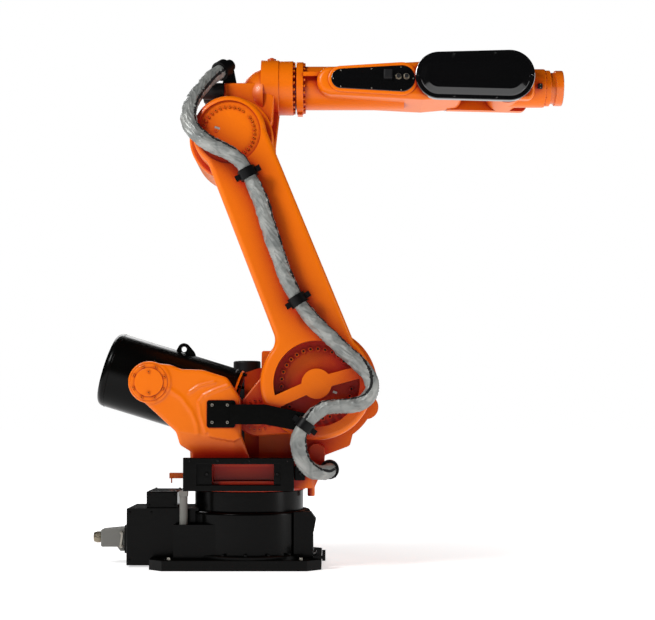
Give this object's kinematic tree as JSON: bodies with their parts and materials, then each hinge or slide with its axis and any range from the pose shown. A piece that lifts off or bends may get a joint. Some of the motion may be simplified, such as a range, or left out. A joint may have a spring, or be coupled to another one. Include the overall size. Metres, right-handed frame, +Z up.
{
  "type": "industrial robot arm",
  "caption": "Six-axis floor-mounted industrial robot arm with balancing cylinder, clamped hose, floor plate and tool flange.",
  "frame": {"origin": "on the floor face of the base plate, on the turntable axis", "axes": "+X the way the arm reaches at rest, +Z up along the turntable axis, +Y away from the lower arm"},
  "size_m": [2.0603, 0.8523, 2.2248],
  "materials": {
    "orange_paint": "gloss",
    "black_paint": "gloss",
    "motor_black": "satin",
    "black_plastic": "satin",
    "grey_plastic": "satin",
    "grey_enamel": "satin",
    "nickel": "satin",
    "bare_steel": "machined",
    "hose_sleeve": "matt"
  },
  "bodies": {
    "base": {"base_plate": "black_paint", "base_column": "black_paint", "base_ring": "black_paint", "rear_box": "black_paint", "rear_upper_box": "black_paint", "connector_base": "black_paint", "connector_hood": "grey_enamel", "cable_gland": "nickel", "stop_post": "grey_enamel", "front_stop_block": "black_paint", "front_foot_bracket": "black_paint"},
    "carousel": {"carousel_turntable": "orange_paint", "stop_pin": "orange_paint", "shoulder_casting": "orange_paint", "shoulder_gearbox": "orange_paint", "shoulder_motor": "motor_black", "turntable_motor": "motor_black", "balancer_ear_right": "orange_paint", "balancer_ear_left": "orange_paint", "trunnion_cap_right": "orange_paint", "trunnion_cap_left": "orange_paint", "side_frame_right": "black_paint", "side_frame_left": "black_paint", "rear_tab": "orange_paint", "hose_bracket": "black_paint", "bracket_clamp": "black_plastic", "hose_outlet": "black_plastic", "hose_carousel": "hose_sleeve"},
    "balancer_cylinder": {"balancer_shell": "black_paint", "balancer_front_ring": "orange_paint", "lifting_eye": "black_paint"},
    "balancer_rod": {"balancer_rod": "bare_steel"},
    "lower_arm": {"lower_arm": "orange_paint", "rod_pin": "bare_steel", "rod_pin_cover": "orange_paint", "arm_clamp_low": "black_plastic", "arm_clamp_high": "black_plastic", "hose_shoulder_loop": "hose_sleeve", "hose_arm": "hose_sleeve"},
    "elbow": {"elbow_housing": "orange_paint", "elbow_gear_ring": "orange_paint", "elbow_motor": "motor_black", "wrist_motors": "motor_black", "hose_end_bracket": "black_plastic", "hose_elbow_loop": "hose_sleeve"},
    "forearm": {"forearm_flange": "orange_paint", "forearm_casting": "orange_paint", "oval_cover": "black_plastic", "window_cover": "black_plastic", "service_ports": "grey_plastic", "far_cover": "black_plastic"},
    "wrist": {"wrist_housing": "orange_paint"},
    "tool_flange": {"tool_flange": "bare_steel"}
  },
  "joints": [
    {"name": "turntable_turn", "type": "hinge", "parent": "base", "child": "carousel", "pos_m": [0, 0, 0.326], "axis": [0, 0, 1], "range_deg": [-180, 180]},
    {"name": "shoulder_swing", "type": "hinge", "parent": "carousel", "child": "lower_arm", "pos_m": [0.298, 0, 0.781], "axis": [0, 1, 0], "range_deg": [-40, 90], "deforming": ["hose_shoulder_loop"]},
    {"name": "balancer_tilt", "type": "hinge", "parent": "carousel", "child": "balancer_cylinder", "pos_m": [-0.403, 0, 0.788], "axis": [0, 1, 0], "range_deg": [-34.5, 15.5]},
    {"name": "rod_swing", "type": "hinge", "parent": "lower_arm", "child": "balancer_rod", "pos_m": [0.04586, 0, 0.6503], "axis": [0, 1, 0], "range_deg": [-124.5, 55.5]},
    {"name": "elbow_swing", "type": "hinge", "parent": "lower_arm", "child": "elbow", "pos_m": [-0.06967, 0, 1.83681], "axis": [0, -1, 0], "range_deg": [-50, 90], "deforming": ["hose_elbow_loop"]},
    {"name": "forearm_roll", "type": "hinge", "parent": "elbow", "child": "forearm", "pos_m": [0.192, 0, 2.09581], "axis": [1, 0, 0], "range_deg": [-360, 360]},
    {"name": "wrist_bend", "type": "hinge", "parent": "forearm", "child": "wrist", "pos_m": [1.13033, 0, 2.09581], "axis": [0, 1, 0], "range_deg": [-125, 125]},
    {"name": "flange_roll", "type": "hinge", "parent": "wrist", "child": "tool_flange", "pos_m": [1.38033, 0, 2.09581], "axis": [1, 0, 0], "range_deg": [-360, 360]}
  ],
  "couplings": [
    {"joint": "balancer_tilt", "follows": "shoulder_swing", "ratio": -0.38},
    {"joint": "rod_swing", "follows": "shoulder_swing", "ratio": -1.38}
  ]
}
